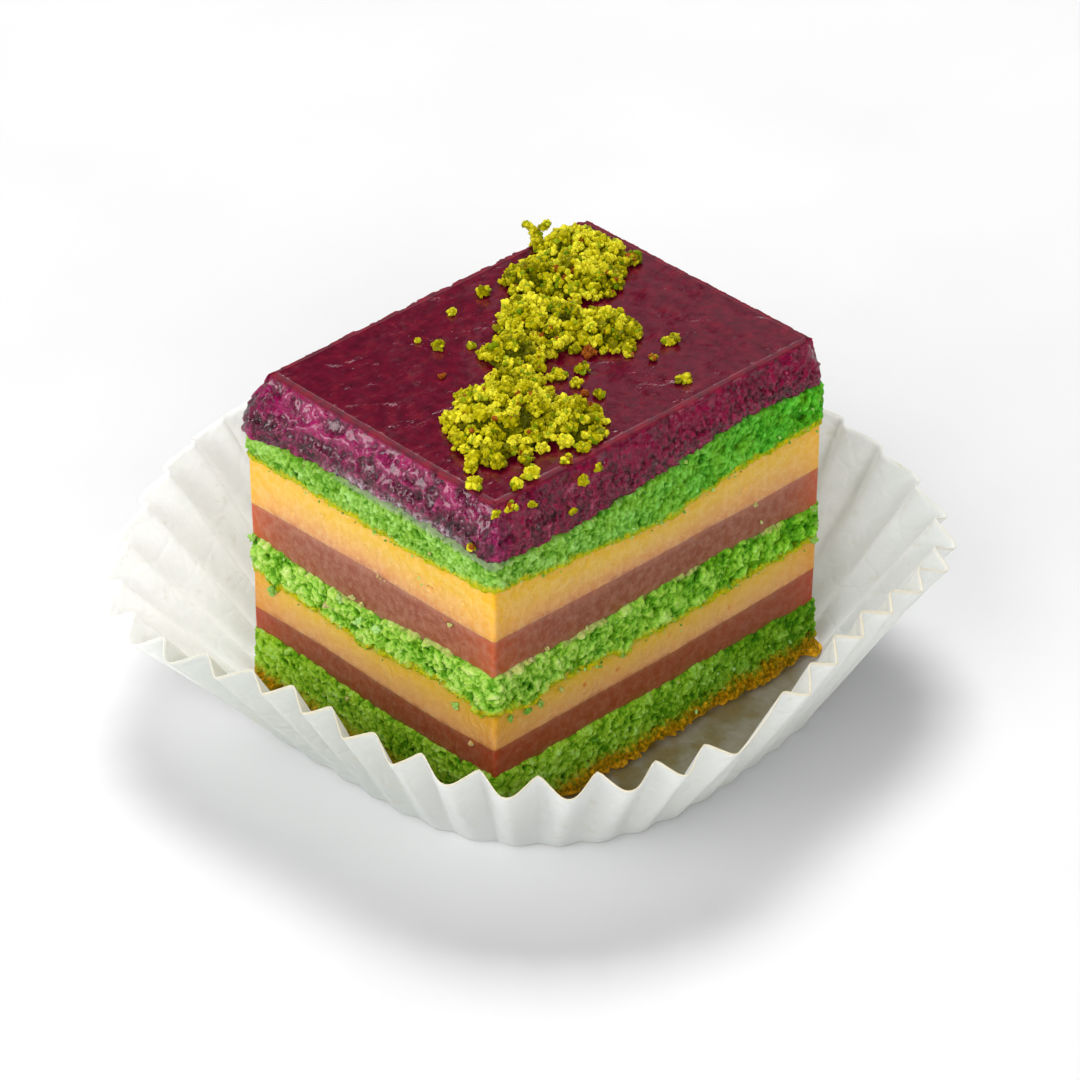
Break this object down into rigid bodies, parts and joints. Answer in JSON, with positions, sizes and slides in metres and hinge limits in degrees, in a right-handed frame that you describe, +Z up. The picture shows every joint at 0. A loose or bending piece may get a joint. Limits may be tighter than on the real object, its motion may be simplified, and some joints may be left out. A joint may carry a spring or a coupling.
{
  "type": "layered mini cake",
  "caption": "Small oblong cut of layered sponge and cream cake with a jelly top and nut crumbs, standing in a fluted paper case.",
  "frame": {"origin": "middle of the paper case's flat underside, on the surface it stands on", "axes": "+Z up; X along the cake's long side; Y along its short side; the picture looks from -X -Y"},
  "size_m": [0.0814, 0.084, 0.0429],
  "materials": {
    "paper": "thin white greaseproof paper, matt",
    "sponge": "moist open-crumbed green sponge with a browned base",
    "cream": "smooth satin cream",
    "ganache": "smooth satin milk chocolate cream",
    "glaze": "wet glossy dark crimson jelly",
    "crumbs": "crushed nut, slightly glossy"
  },
  "bodies": {
    "root": {"paper_case": "paper", "sponge_base": "sponge", "ganache_lower": "ganache", "cream_lower": "cream", "sponge_middle": "sponge", "ganache_upper": "ganache", "cream_upper": "cream", "sponge_top": "sponge", "glaze": "glaze", "pistachio_crumbs": "crumbs"}
  },
  "joints": []
}
